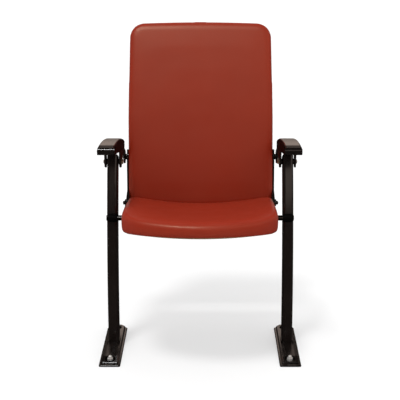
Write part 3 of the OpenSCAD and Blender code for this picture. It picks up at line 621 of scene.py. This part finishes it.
def apply_all(piece: bpy.types.Object) -> bpy.types.Object:
    """Applies every modifier of a piece, in order."""
    only(piece)
    for modifier in list(piece.modifiers):
        bpy.ops.object.modifier_apply(modifier=modifier.name)
    return piece


def round_edges(piece: bpy.types.Object, width: float, segments: int = 3) -> None:
    """Rounds the sharp edges of a piece and shades the rest smooth."""
    rounding = piece.modifiers.new("rounded_edges", "BEVEL")
    rounding.width = width
    rounding.segments = segments
    rounding.limit_method = "ANGLE"
    rounding.angle_limit = SHARP_EDGE
    apply_all(piece)
    bpy.ops.object.shade_smooth_by_angle(angle=SMOOTH_EDGE)


def points_of(mesh: bpy.types.Mesh) -> np.ndarray:
    """Returns a mesh's points as rows."""
    flat = np.zeros(len(mesh.vertices) * 3)
    mesh.vertices.foreach_get("co", flat)
    return flat.reshape(-1, 3)


def move_points(mesh: bpy.types.Mesh, points: np.ndarray) -> None:
    """Puts a mesh's points at new places."""
    mesh.vertices.foreach_set("co", points.ravel())
    mesh.update()


def new_piece(name: str, points: np.ndarray, faces: list[list[int]]) -> bpy.types.Object:
    """Makes an object from points and faces and returns it."""
    mesh = bpy.data.meshes.new(name)
    mesh.from_pydata([tuple(p) for p in points], [], faces)
    mesh.validate()
    piece = bpy.data.objects.new(name, mesh)
    bpy.context.scene.collection.objects.link(piece)
    return piece


# Upholstery


@dataclass
class Inflation:
    """How a pad is blown up from a slightly smaller shape by simulated cloth.

    `before` and `after` are the turns of smoothing, and `spread` is how many times the swell is
    averaged with its neighbours.
    """

    voxel: float = 0.005
    shrink: float = 0.003
    before: int = 4
    pressure: float = 4.0
    frames: int = 20
    cap: float = 0.0018
    stiffness: float = 40.0
    bending: float = 15.0
    spread: int = 220
    after: int = 4

    def run(self, pad: bpy.types.Object, held: Callable[[np.ndarray], np.ndarray]) -> None:
        """Simulates the pad's cover and keeps the result in its mesh.

        Args:
            pad: The closed pad.
            held: Tells for each point, from 0 to 1, how firmly it is held in place.
        """
        only(pad)
        bpy.ops.object.mode_set(mode="EDIT")
        bpy.ops.mesh.select_all(action="SELECT")
        bpy.ops.mesh.normals_make_consistent(inside=False)
        bpy.ops.transform.shrink_fatten(value=-self.shrink)
        leave_edit()
        remesh = pad.modifiers.new("even_faces", "REMESH")
        remesh.mode = "VOXEL"
        remesh.voxel_size = self.voxel
        apply_all(pad)
        self.smooth(pad, self.before)
        self.blow_up(pad, held)

    def smooth(self, pad: bpy.types.Object, turns: int) -> None:
        """Evens out the steps that remeshing leaves."""
        modifier = pad.modifiers.new("even_out", "SMOOTH")
        modifier.factor = 0.5
        modifier.iterations = turns
        apply_all(pad)

    def blow_up(self, pad: bpy.types.Object, held: Callable[[np.ndarray], np.ndarray]) -> None:
        """Runs the cloth and moves each point out by its capped and evenly spread swell."""
        start = points_of(pad.data)
        group = pad.vertex_groups.new(name="held")
        for index, weight in enumerate(held(start)):
            if weight > 0:
                group.add([index], float(weight), "REPLACE")
        modifier = pad.modifiers.new("cover", "CLOTH")
        cloth = modifier.settings
        cloth.quality = 6
        cloth.mass = 0.3
        cloth.tension_stiffness = self.stiffness
        cloth.compression_stiffness = self.stiffness
        cloth.shear_stiffness = self.stiffness / 2
        cloth.bending_stiffness = self.bending
        cloth.air_damping = 5.0
        cloth.use_pressure = True
        cloth.uniform_pressure_force = self.pressure
        cloth.effector_weights.gravity = 0.0
        cloth.vertex_group_mass = group.name
        modifier.point_cache.frame_end = self.frames
        scene = bpy.context.scene
        for number in range(1, self.frames + 1):
            scene.frame_set(number)
        graph = bpy.context.evaluated_depsgraph_get()
        shown = pad.evaluated_get(graph)
        moved = points_of(shown.to_mesh()) - start
        shown.to_mesh_clear()
        pad.modifiers.remove(modifier)
        pad.vertex_groups.remove(group)
        scene.frame_set(1)
        normals = np.array([v.normal for v in pad.data.vertices])
        swell = self.cap * np.tanh(np.einsum("ij,ij->i", moved, normals) / self.cap)
        swell = self.spread_out(pad.data, swell)
        move_points(pad.data, start + normals * swell[:, None])
        self.smooth(pad, self.after)
        log.info("%s swelled by %.1f mm at most", pad.name, float(swell.max()) * MM_PER_METRE)

    def spread_out(self, mesh: bpy.types.Mesh, values: np.ndarray) -> np.ndarray:
        """Returns one value per point, averaged again and again with its neighbours."""
        ends = np.empty(2 * len(mesh.edges), dtype=int)
        mesh.edges.foreach_get("vertices", ends)
        here, there = np.concatenate((ends[::2], ends[1::2])), np.concatenate((ends[1::2], ends[::2]))
        count = np.bincount(here, minlength=len(values))
        for _ in range(self.spread):
            values = (values + np.bincount(here, values[there], len(values)) / count) / 2
        return values


def cover(pad: bpy.types.Object, low: Vector, high: Vector, finish: bpy.types.Material) -> None:
    """Ends a blown-up pad: fits it to its box, makes its faces finer and dresses it.

    Args:
        pad: The pad.
        low: The lower corner of its box.
        high: The upper corner of its box.
        finish: Its material.
    """
    points = points_of(pad.data)
    now_low, now_high = points.min(0), points.max(0)
    scale = (np.array(high) - np.array(low)) / (now_high - now_low)
    move_points(pad.data, (points - now_low) * scale + np.array(low))
    finer = pad.modifiers.new("finer", "SUBSURF")
    finer.levels = finer.render_levels = 1
    apply_all(pad)
    wear(pad, finish)
    bpy.ops.object.shade_smooth()


@dataclass
class BackPad:
    """The tall back cushion: one smooth crowned pad on the back board."""

    inflation: Inflation
    name: str = "back_upholstery"
    node: str = "back_cushion"
    held_depth: float = 0.010
    row: float = 0.02

    def build(self, finish: bpy.types.Material) -> bpy.types.Object:
        """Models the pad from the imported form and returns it."""
        source = frame["nodes"][self.node]
        pad = new_piece(self.name, points_of(source.data), [list(f.vertices) for f in source.data.polygons])
        only(pad)
        bpy.ops.object.mode_set(mode="EDIT")
        bpy.ops.mesh.select_all(action="SELECT")
        bpy.ops.mesh.remove_doubles(threshold=1e-5)
        leave_edit()
        low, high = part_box(self.node)
        self.inflation.run(pad, self.held)
        cover(pad, low, high, finish)
        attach(pad, Body.FRAME.value)
        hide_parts(self.node)
        return pad

    def held(self, points: np.ndarray) -> np.ndarray:
        """Holds the points near the back board."""
        rear = np.zeros(len(points))
        bins = np.round(points[:, 2] / self.row).astype(int)
        for row in np.unique(bins):
            here = bins == row
            rear[here] = points[here, 1].max()
        return (points[:, 1] > rear - self.held_depth).astype(float)


@dataclass
class SeatPad:
    """The seat cushion: a dished top that rolls over a bowed front edge."""

    inflation: Inflation
    name: str = "seat_upholstery"
    node: str = "seat_cushion"
    tilt: float = math.radians(7.5)
    front: float = 0.242
    rear: float = 0.153
    bow: float = 0.074
    front_radius: float = 0.062
    rear_radius: float = 0.046
    top: float = 0.027
    fall: float = 0.001
    dish: float = 0.023
    under: float = 0.026
    nose_lift: float = 0.004
    nose_share: float = 1.6
    edge: float = 0.028
    dish_shares: tuple[float, float] = (-0.4, 0.5)
    inset_shares: tuple[float, ...] = (0.45, 0.18, 0.04, 0.0, 0.0, 0.04, 0.15, 0.42)
    level_shares: tuple[float, ...] = (0.0, 0.06, 0.17, 0.32, 0.61, 0.83, 0.925, 0.988)
    shrink_shares: tuple[float, ...] = (0.85, 0.7, 0.55, 0.4, 0.27, 0.14)
    under_shares: tuple[float, ...] = (0.3, 0.6, 0.85)
    tightest: float = 3.0
    corner_steps: int = 10
    side_steps: int = 22
    held_depth: float = 0.006

    def __post_init__(self) -> None:
        """Reads the pivot and the width from the frame."""
        joint = next(j for j in frame["joints"] if j["child"] == Body.SEAT.value)
        self.pivot = Vector(joint["pos_m"])
        self.half_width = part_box(self.node)[1].x
        self.half_depth = (self.front + self.rear) / 2
        self.middle = (self.rear - self.front) / 2

    def outline(self, inset: float) -> list[tuple[float, float]]:
        """Returns a rounded rectangle, drawn in by an inset, as plan points."""
        points = []
        width = self.half_width - inset
        depth = self.half_depth - inset
        signs = [(1, 1), (-1, 1), (-1, -1), (1, -1)]
        radii = [max(r - inset, r / self.tightest) for r in
                 (self.rear_radius, self.rear_radius, self.front_radius, self.front_radius)]
        centres = [(sx * (width - r), sy * (depth - r)) for (sx, sy), r in zip(signs, radii)]
        for q, (centre, radius) in enumerate(zip(centres, radii)):
            for i in range(self.corner_steps + 1):
                angle = QUARTER_TURN * (q + i / self.corner_steps)
                points.append((centre[0] + radius * math.cos(angle), centre[1] + radius * math.sin(angle)))
            angle = QUARTER_TURN * (q + 1)
            after, next_radius = centres[(q + 1) % 4], radii[(q + 1) % 4]
            end = (after[0] + next_radius * math.cos(angle), after[1] + next_radius * math.sin(angle))
            begin = points[-1]
            for j in range(1, self.side_steps):
                t = j / self.side_steps
                points.append((begin[0] + (end[0] - begin[0]) * t, begin[1] + (end[1] - begin[1]) * t))
        return points

    def place(self, x: float, y: float, share: float, inset: float) -> tuple[float, float, float]:
        """Returns a point of the level seat, about the pivot.

        Args:
            x: Place across the outline.
            y: Place along the outline, from its middle.
            share: Height, from 0 at the underside to 1 at the top.
            inset: How far the outline is drawn in there.

        Returns:
            The point.
        """
        ahead = (1 - y / self.half_depth) / 2
        across = (x / self.half_width) ** 2
        lag = (self.bow * across + self.nose_share * inset) * ahead ** 2
        start, end = self.dish_shares
        t = min(max((1 - ahead - start) / (end - start), 0.0), 1.0)
        rise = self.dish * across * t * t * (3 - 2 * t)
        top = self.top - self.fall * (1 - ahead) + rise
        low = self.nose_lift * ahead ** 2 - self.under
        return x, self.middle + y + lag, low + (top - low) * share

    def build(self, finish: bpy.types.Material) -> bpy.types.Object:
        """Models the pad as rings from its underside to the middle of its top and returns it."""
        rings = [(self.edge * i, s, 1.0) for i, s in zip(self.inset_shares, self.level_shares)]
        rings += [(self.edge * self.inset_shares[-1], 1.0, f) for f in self.shrink_shares]
        rings = [(rings[0][0], 0.0, f) for f in self.under_shares] + rings
        points, faces = [], []
        for inset, share, shrink in rings:
            outline = self.outline(inset)
            points += [self.place(shrink * x, shrink * y, share, inset) for x, y in outline]
        count = len(points) // len(rings)
        for k in range(len(rings) - 1):
            for i in range(count):
                j = (i + 1) % count
                faces.append([k * count + i, k * count + j, (k + 1) * count + j, (k + 1) * count + i])
        faces.append(list(reversed(range(count))))
        faces.append(list(range((len(rings) - 1) * count, len(rings) * count)))
        pad = new_piece(self.name, np.array(points), faces)
        turn = Matrix.Translation(self.pivot) @ Matrix.Rotation(-self.tilt, 4, "X")
        pad.data.transform(turn)
        low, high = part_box(self.node)
        self.inflation.run(pad, self.held)
        cover(pad, low, high, finish)
        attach(pad, Body.SEAT.value)
        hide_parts(self.node)
        return pad

    def held(self, points: np.ndarray) -> np.ndarray:
        """Holds the points of the underside."""
        level = Matrix.Rotation(self.tilt, 4, "X") @ Matrix.Translation(-self.pivot)
        height = points @ np.array(level)[2, :3] + level[2][3]
        return (height < self.held_depth - self.under).astype(float)


# Hardware


@dataclass
class AnchorSet:
    """Washer, nut and stud that hold a foot at one of its recesses."""

    name: str
    x: float
    y: float
    turn: float = 0.0
    seat: float = 0.005
    washer_radius: float = 0.0115
    washer_height: float = 0.0020
    washer_sides: int = 48
    nut_width: float = 0.0155
    nut_height: float = 0.0070
    nut_sides: int = 6
    chamfer: float = 0.0009
    stud_radius: float = 0.0059
    stud_low: float = 0.0006
    stud_rise: float = 0.0050
    stud_sides: int = 32
    dome_share: float = 0.2
    dome_rises: tuple[float, ...] = (1.6, 1.0, 0.6, 0.25)

    def build(self, dull: bpy.types.Material, bright: bpy.types.Material) -> None:
        """Models the three pieces in the recess.

        Args:
            dull: The finish of the washer.
            bright: The finish of the nut and the stud.
        """
        washer_top = self.seat + self.washer_height
        nut_top = washer_top + self.nut_height
        nut_radius = self.nut_width / 2 / math.cos(math.pi / self.nut_sides)
        washer = self.drum("washer", self.washer_sides, self.washer_radius, self.seat, washer_top)
        self.bore(washer, self.washer_radius - self.stud_radius - self.chamfer / 2)
        nut = self.drum("nut", self.nut_sides, nut_radius, washer_top, nut_top)
        self.ease(nut)
        stud = self.drum("stud", self.stud_sides, self.stud_radius, self.stud_low, nut_top + self.stud_rise)
        self.dome(stud)
        for piece, finish in ((washer, dull), (nut, bright), (stud, bright)):
            settle(piece)
            bpy.ops.object.shade_smooth_by_angle(angle=SMOOTH_EDGE)
            wear(piece, finish)
            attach(piece, Body.FRAME.value)

    def drum(self, kind: str, sides: int, radius: float, low: float, high: float) -> bpy.types.Object:
        """Adds an upright cylinder or prism and returns it."""
        clear_selection()
        bpy.ops.mesh.primitive_cylinder_add(
            vertices=sides, radius=radius, depth=high - low,
            location=(self.x, self.y, (low + high) / 2), rotation=(0, 0, self.turn))
        piece = bpy.context.object
        piece.name = f"{self.name}_{kind}"
        return piece

    def bore(self, piece: bpy.types.Object, ring: float) -> None:
        """Opens a hole through a drum, leaving a ring of the given width."""
        select_where(piece, lambda face: abs(face.normal.z) > LEVEL_FACE)
        bpy.ops.mesh.inset(thickness=ring, use_individual=True)
        bpy.ops.mesh.bridge_edge_loops()
        leave_edit()

    def dome(self, piece: bpy.types.Object) -> None:
        """Rounds the upper end of a drum in rising rings."""
        select_where(piece, lambda face: face.normal.z > LEVEL_FACE)
        ring = self.stud_radius * self.dome_share
        for rise in self.dome_rises:
            bpy.ops.mesh.inset(thickness=ring, depth=ring * rise)
        leave_edit()

    def ease(self, piece: bpy.types.Object) -> None:
        """Chamfers the upper edge of a drum."""
        select_where(piece, lambda face: face.normal.z > LEVEL_FACE)
        bpy.ops.mesh.inset(thickness=self.chamfer, depth=self.chamfer)
        leave_edit()


@dataclass
class PivotBoss:
    """The lug on the front of a column in which the pivot pin of that side is fixed."""

    side: Side
    radius: float = 0.0125
    round_sides: int = 64
    sunk: float = 0.002
    inward: float = 0.0025
    edge: float = 0.0012
    facing: float = 0.02

    def __post_init__(self) -> None:
        """Reads the pin and the front face of the column from the frame."""
        label = self.side.name.lower()
        self.name = f"{label}_pivot_boss"
        pin_low, pin_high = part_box(f"{label}_pivot_pin")
        low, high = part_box(f"{label}_column")
        self.centre = (pin_low + pin_high) / 2
        self.centre.x = (low.x + high.x) / 2 - self.side * self.inward
        self.length = high.x - low.x
        rearward = Vector((0, 1, 0))
        tube = frame["nodes"][f"{label}_column"]
        _, self.face, outward, _ = tube.ray_cast(self.centre - rearward, rearward)
        self.back = -outward

    def build(self, finish: bpy.types.Material) -> bpy.types.Object:
        """Models the lug: round about the pin, flat where it is welded on, and returns it."""
        clear_selection()
        bpy.ops.mesh.primitive_cylinder_add(
            vertices=self.round_sides, radius=self.radius, depth=self.length,
            location=self.centre, rotation=(0, QUARTER_TURN, 0))
        lug = bpy.context.object
        lug.name = self.name
        settle(lug)
        select_where(lug, lambda face: face.normal.dot(self.back) > self.facing)
        bpy.ops.transform.translate(value=self.back * self.radius)
        bpy.ops.mesh.select_all(action="SELECT")
        bpy.ops.mesh.bisect(plane_co=self.face + self.back * self.sunk, plane_no=self.back,
                            use_fill=True, clear_outer=True)
        leave_edit()
        round_edges(lug, self.edge)
        wear(lug, finish)
        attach(lug, Body.FRAME.value)
        return lug


def anchor_sets(turn_step: float = 0.35) -> list[AnchorSet]:
    """Returns one anchor set for each hole of the bolt pattern on the floor.

    Args:
        turn_step: Radians by which the nuts are turned apart.

    Returns:
        The four sets.
    """
    pattern = next(m for m in frame["record"]["mounts"] if m["kind"] == "bolt_pattern")
    across = pattern["dims"]["spacing_x_mm"] / (2 * MM_PER_METRE)
    along = pattern["dims"]["spacing_y_mm"] / (2 * MM_PER_METRE)
    sets = []
    for side in Side:
        for end, name in ((-1, "front"), (1, "rear")):
            label = f"{side.name.lower()}_{name}_anchor"
            sets.append(AnchorSet(label, side * across, end * along, turn_step * (side + 2 * end)))
    return sets


# Studio


@dataclass
class Camera:
    """The photograph's camera, worked out from the columns and the feet."""

    photo_width: float = 400.0
    focal_pixels: float = 950.0
    horizon_pixels: float = 284.0
    sideways_pixels: float = 7.6
    sensor: float = 36.0
    place: tuple[float, float, float] = (0.02237, -2.678485, 1.27195)

    def build(self) -> bpy.types.Object:
        """Makes the scene's camera and returns it."""
        data = bpy.data.cameras.new("photo_camera")
        data.sensor_width = self.sensor
        data.lens = self.sensor * self.focal_pixels / self.photo_width
        data.shift_x = -self.sideways_pixels / self.photo_width
        data.clip_start = 0.05
        data.clip_end = 200.0
        camera = bpy.data.objects.new("photo_camera", data)
        bpy.context.scene.collection.objects.link(camera)
        camera.location = self.place
        camera.rotation_euler = (QUARTER_TURN - math.atan(self.horizon_pixels / self.focal_pixels), 0, 0)
        bpy.context.scene.camera = camera
        return camera


@dataclass
class Studio:
    """A white floor and sky, with a light that only shades and a softbox that only shows in gloss.

    Fields named floor, sky and sun are for shade and shadow. Those named gloss and panel, the
    softbox, floor_in_gloss and floor_behind are what polished faces mirror: a pale wall low
    behind the seat, a bright panel at the front right and dark elsewhere. Ranges are edges by
    height or by side, as the part of a unit direction, or in metres on the floor.
    """

    floor_size: float = 120.0
    floor_glow: float = 0.37
    floor_roughness: float = 0.9
    floor_seen: Colour = (0.60, 0.60, 0.60)
    floor_in_gloss: Colour = (0.075, 0.062, 0.055)
    floor_behind: Colour = (0.26, 0.215, 0.19)
    floor_far: Range = (0.8, 2.0)
    floor_as_light: Colour = (0.67, 0.66, 0.66)
    aim: tuple[float, float, float] = (0.0, 0.1, 0.5)
    softbox_from: tuple[float, float, float] = (-1.32, -2.70, 4.0)
    softbox_size: tuple[float, float] = (2.3, 0.42)
    softbox_watts: float = 118.0
    sun_from: tuple[float, float, float] = (-0.20, -0.22, 1.0)
    sun_strength: float = 1.0
    sun_angle: float = math.radians(12)
    sky_behind: Range = (-0.25, 0.35)
    sky_back: float = 1.0
    sky_high: float = 0.92
    sky_low: float = 0.22
    sky_edge: Range = (0.10, 0.42)
    gloss_colour: Colour = (1.0, 0.80, 0.69)
    gloss_back: float = 0.74
    gloss_low: float = 0.34
    gloss_rise: Range = (-0.02, 0.14)
    gloss_dim: float = 0.07
    gloss_high: Range = (0.62, 0.82)
    gloss_wide: Range = (0.13, 0.27)
    gloss_wide_share: float = 0.75
    panel: float = 1.2
    panel_rise: Range = (0.24, 0.36)
    panel_fall: Range = (0.48, 0.60)
    panel_right: Range = (-0.15, 0.06)

    def build(self) -> None:
        """Makes the floor, the softbox, the wide light and the sky."""
        self.floor()
        self.softbox()
        self.sun()
        self.sky()
        bpy.context.scene.view_settings.view_transform = "Standard"

    def floor(self) -> None:
        """Makes the floor, which is white to the camera and keeps the seat's shadow."""
        clear_selection()
        bpy.ops.mesh.primitive_plane_add(size=self.floor_size, location=(0, 0, 0))
        plane = bpy.context.object
        plane.name = "studio_floor"
        g = Graph("studio_floor")
        g.set(Roughness=self.floor_roughness, Specular_IOR_Level=0.0, Emission_Color=WHITE)
        ray = g.node("ShaderNodeLightPath").outputs
        seen = ray["Is Camera Ray"]
        far = g.step(g.parts(g.place)["Y"], self.floor_far)
        mirrored = g.blend(far, self.floor_in_gloss, self.floor_behind)
        unseen = g.mix(ray["Is Glossy Ray"], self.floor_as_light, mirrored, "RGBA")
        g.link(g.mix(seen, unseen, self.floor_seen, "RGBA"), g.shader.inputs["Base Color"])
        g.link(g.math("MULTIPLY", seen, self.floor_glow), g.shader.inputs["Emission Strength"])
        wear(plane, g.material)

    def softbox(self) -> None:
        """Adds the long softbox that makes the bright lines in the gloss."""
        data = bpy.data.lights.new("softbox", "AREA")
        data.shape = "RECTANGLE"
        data.size, data.size_y = self.softbox_size
        data.energy = self.softbox_watts
        lamp = bpy.data.objects.new("softbox", data)
        bpy.context.scene.collection.objects.link(lamp)
        lamp.location = Vector(self.aim) + Vector(self.softbox_from)
        lamp.rotation_euler = Vector(self.softbox_from).to_track_quat("Z", "Y").to_euler()
        lamp.visible_diffuse = False

    def sun(self) -> None:
        """Adds the wide light from the upper left that shades the seat and casts its shadow."""
        data = bpy.data.lights.new("upper_left_light", "SUN")
        data.energy = self.sun_strength
        data.angle = self.sun_angle
        lamp = bpy.data.objects.new("upper_left_light", data)
        bpy.context.scene.collection.objects.link(lamp)
        lamp.rotation_euler = Vector(self.sun_from).to_track_quat("Z", "Y").to_euler()
        lamp.visible_glossy = False

    def sky(self) -> None:
        """Makes a sky that is white to the camera, even as light, and part dark in gloss."""
        world = bpy.data.worlds.new("studio_sky")
        bpy.context.scene.world = world
        world.use_nodes = True
        g = Nodes(world.node_tree)
        way = g.parts(g.node("ShaderNodeTexCoord").outputs["Generated"])
        ray = g.node("ShaderNodeLightPath").outputs
        behind = g.step(way["Y"], self.sky_behind)
        ahead = g.step(way["Z"], self.sky_edge, self.sky_low, self.sky_high)
        light = g.mix(behind, ahead, self.sky_back)
        gloss = g.mix(behind, self.front_in_gloss(g, way), self.back_in_gloss(g, way))
        lit = g.node("ShaderNodeBackground")
        g.link(g.mix(ray["Is Glossy Ray"], WHITE, self.gloss_colour, "RGBA"), lit.inputs["Color"])
        g.link(g.mix(ray["Is Glossy Ray"], light, gloss), lit.inputs["Strength"])
        white = g.node("ShaderNodeBackground")
        g.fill(white.inputs["Color"], WHITE)
        pick = g.node("ShaderNodeMixShader")
        g.link(ray["Is Camera Ray"], pick.inputs["Fac"])
        g.link(lit.outputs[0], pick.inputs[1])
        g.link(white.outputs[0], pick.inputs[2])
        g.link(pick.outputs[0], g.node("ShaderNodeOutputWorld").inputs["Surface"])

    def back_in_gloss(self, g: Nodes, way: bpy.types.bpy_prop_collection) -> Socket:
        """Returns what polished faces mirror of the sky behind the seat: a low pale wall."""
        wall = g.remap(way["Z"], *self.gloss_rise, self.gloss_low, self.gloss_back)
        above = g.step(way["Z"], self.gloss_high)
        beside = g.step(g.math("ABSOLUTE", way["X"]), self.gloss_wide, 0.0, self.gloss_wide_share)
        return g.mix(g.math("MAXIMUM", above, beside), wall, self.gloss_dim)

    def front_in_gloss(self, g: Nodes, way: bpy.types.bpy_prop_collection) -> Socket:
        """Returns what polished faces mirror of the sky in front: a bright panel at the right."""
        rising = g.step(way["Z"], self.panel_rise, self.gloss_dim, self.panel)
        falling = g.step(way["Z"], self.panel_fall, self.panel, self.gloss_dim)
        lit = g.math("MINIMUM", rising, falling)
        return g.mix(g.step(way["X"], self.panel_right), self.gloss_dim, lit)


def main() -> None:
    """Builds the scene around the frame."""
    logging.basicConfig(level=logging.INFO, format="%(name)s: %(message)s")
    Camera().build()
    Studio().build()
    finishes = Finishes()
    finishes.dress_frame()
    for anchor in anchor_sets():
        anchor.build(finishes.cast, finishes.bright)
        log.info("%s has its washer, nut and stud", anchor.name)
    for side in Side:
        lug = PivotBoss(side).build(finishes.matt)
        log.info("%s has %d faces", lug.name, len(lug.data.polygons))
    for pad in (BackPad(Inflation(cap=0.0006)), SeatPad(Inflation())):
        built = pad.build(finishes.vinyl)
        log.info("%s has %d faces", built.name, len(built.data.polygons))


if __name__ == "__main__":
    main()
